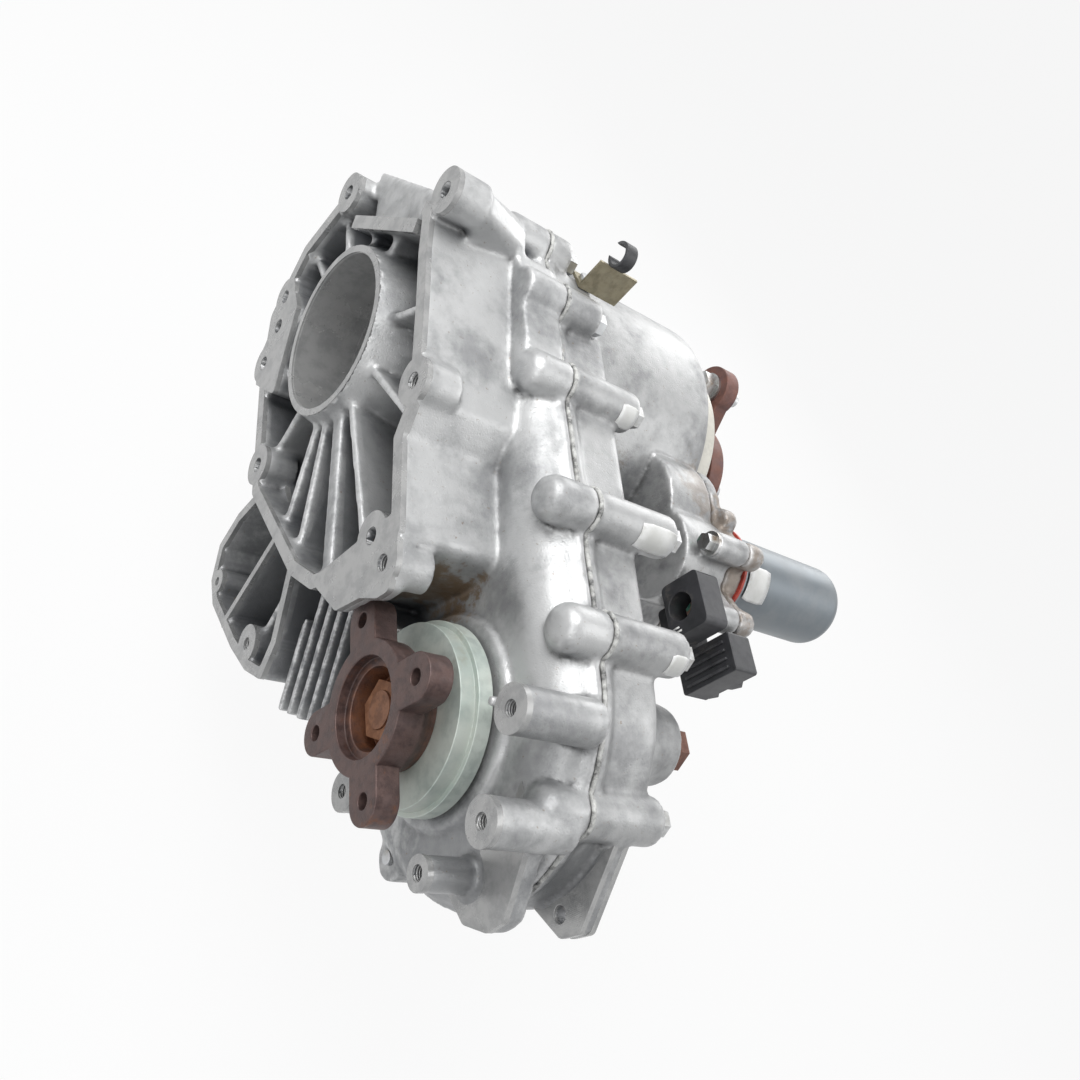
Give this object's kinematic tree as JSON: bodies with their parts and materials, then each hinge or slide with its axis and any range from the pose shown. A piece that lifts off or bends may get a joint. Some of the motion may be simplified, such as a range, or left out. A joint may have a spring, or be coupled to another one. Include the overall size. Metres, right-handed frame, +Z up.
{
  "type": "transfer case",
  "caption": "Four-wheel-drive transfer case: two cast housings, chain drive to an offset front flange, rear flange, planetary centre differential and motor-worked lock clutch.",
  "frame": {"origin": "centre of the input bore, on the plane of the gearbox face", "axes": "+X runs rearward along the shafts, +Z is up, and the front output lies at -Y"},
  "size_m": [0.378, 0.4848, 0.3538],
  "materials": {
    "cast_aluminium": "as cast, stained",
    "machined_steel": "turned and ground",
    "bearing_steel": "ground",
    "zinc_steel": "zinc plated, dulled",
    "rusted_steel": "surface rust",
    "rear_flange_steel": "surface rust",
    "shield_steel": "pale coated, dusty",
    "seal_rubber": "matt",
    "gasket_red": "matt",
    "motor_can_paint": "satin",
    "black_plastic": "moulded",
    "friction_lining": "lined steel",
    "magnet": "sintered",
    "olive_sheet": "plated sheet"
  },
  "bodies": {
    "housing": {"front_case": "cast_aluminium", "rear_case": "cast_aluminium", "case_bolts": "zinc_steel", "case_dowels": "machined_steel", "filler_plug": "rusted_steel", "drain_plug": "zinc_steel", "input_seal": "seal_rubber", "input_bearing": "bearing_steel", "sleeve_bearing": "bearing_steel", "chain": "machined_steel", "rear_output_bearing": "bearing_steel", "bearing_snap_ring": "machined_steel", "rear_output_seal": "seal_rubber", "ramp_seat": "machined_steel", "ramp_balls": "bearing_steel", "idler_pin": "bearing_steel", "actuator_housing": "cast_aluminium", "motor_gasket": "gasket_red", "motor_can": "motor_can_paint", "motor_magnets": "magnet", "actuator_screws": "zinc_steel", "harness_bracket": "olive_sheet", "bracket_screw": "zinc_steel", "harness_clip": "black_plastic", "motor_plug": "black_plastic", "position_sensor": "black_plastic", "front_output_seal": "seal_rubber", "front_output_bearing": "bearing_steel", "front_tail_bearing": "bearing_steel"},
    "front_drive": {"drive_sprocket": "machined_steel", "sun_shaft": "machined_steel", "sleeve_needles": "bearing_steel"},
    "front_output": {"front_output_shaft": "machined_steel", "driven_sprocket": "machined_steel", "front_output_flange": "rusted_steel", "front_flange_nut": "zinc_steel", "front_dust_shield": "shield_steel"},
    "rear_output": {"ring_gear": "machined_steel", "clutch_drum": "machined_steel", "steel_plates": "machined_steel", "rear_output_shaft": "machined_steel", "rear_output_flange": "rear_flange_steel", "rear_flange_nut": "zinc_steel", "rear_dust_shield": "shield_steel", "coupling_bolt": "zinc_steel"},
    "input": {"input_shaft": "machined_steel", "planet_carrier": "machined_steel", "planet_pins": "bearing_steel", "clutch_hub": "machined_steel", "friction_discs": "friction_lining"},
    "planet_1": {"planet_gear_1": "machined_steel"},
    "planet_2": {"planet_gear_2": "machined_steel"},
    "planet_3": {"planet_gear_3": "machined_steel"},
    "planet_4": {"planet_gear_4": "machined_steel"},
    "ramp": {"ramp_ring": "machined_steel"},
    "idler": {"idler_gear": "machined_steel"},
    "rotor": {"motor_rotor": "machined_steel"},
    "clutch_press": {"pressure_plate": "machined_steel", "thrust_bearing": "bearing_steel"}
  },
  "joints": [
    {"name": "front_drive_spin", "type": "hinge", "parent": "housing", "child": "front_drive", "pos_m": [0.1, 0, 0], "axis": [1, 0, 0], "continuous": true},
    {"name": "front_output_spin", "type": "hinge", "parent": "housing", "child": "front_output", "pos_m": [0.1, -0.252, 0], "axis": [1, 0, 0], "continuous": true},
    {"name": "rear_output_turn", "type": "hinge", "parent": "front_drive", "child": "rear_output", "pos_m": [0.2, 0, 0], "axis": [1, 0, 0], "continuous": true},
    {"name": "input_turn", "type": "hinge", "parent": "front_drive", "child": "input", "pos_m": [0.1, 0, 0], "axis": [1, 0, 0], "continuous": true},
    {"name": "planet_1_spin", "type": "hinge", "parent": "input", "child": "planet_1", "pos_m": [0.161, 0.06, 0], "axis": [1, 0, 0], "continuous": true},
    {"name": "planet_2_spin", "type": "hinge", "parent": "input", "child": "planet_2", "pos_m": [0.161, 0, 0.06], "axis": [1, 0, 0], "continuous": true},
    {"name": "planet_3_spin", "type": "hinge", "parent": "input", "child": "planet_3", "pos_m": [0.161, -0.06, 0], "axis": [1, 0, 0], "continuous": true},
    {"name": "planet_4_spin", "type": "hinge", "parent": "input", "child": "planet_4", "pos_m": [0.161, 0, -0.06], "axis": [1, 0, 0], "continuous": true},
    {"name": "clutch_ramp_turn", "type": "hinge", "parent": "housing", "child": "ramp", "pos_m": [0.24, 0, 0], "axis": [-1, 0, 0], "range_deg": [0, 24]},
    {"name": "idler_turn", "type": "hinge", "parent": "housing", "child": "idler", "pos_m": [0.25, -0.09357, 0.03667], "axis": [1, 0, 0], "range_deg": [0, 110]},
    {"name": "motor_turn", "type": "hinge", "parent": "housing", "child": "rotor", "pos_m": [0.25, -0.13547, 0.05309], "axis": [-1, 0, 0], "range_deg": [0, 440]},
    {"name": "clutch_press_slide", "type": "slide", "parent": "rear_output", "child": "clutch_press", "axis": [-1, 0, 0], "range_m": [0, 0.0012]}
  ],
  "couplings": [
    {"joint": "front_output_spin", "follows": "front_drive_spin", "ratio": 1},
    {"joint": "input_turn", "follows": "rear_output_turn", "ratio": 0.625},
    {"joint": "planet_1_spin", "follows": "rear_output_turn", "ratio": 1.875},
    {"joint": "planet_2_spin", "follows": "rear_output_turn", "ratio": 1.875},
    {"joint": "planet_3_spin", "follows": "rear_output_turn", "ratio": 1.875},
    {"joint": "planet_4_spin", "follows": "rear_output_turn", "ratio": 1.875},
    {"joint": "idler_turn", "follows": "clutch_ramp_turn", "ratio": 4.5833},
    {"joint": "motor_turn", "follows": "clutch_ramp_turn", "ratio": 18.333},
    {"joint": "clutch_press_slide", "follows": "clutch_ramp_turn", "m_per_rad": 0.0028647}
  ]
}
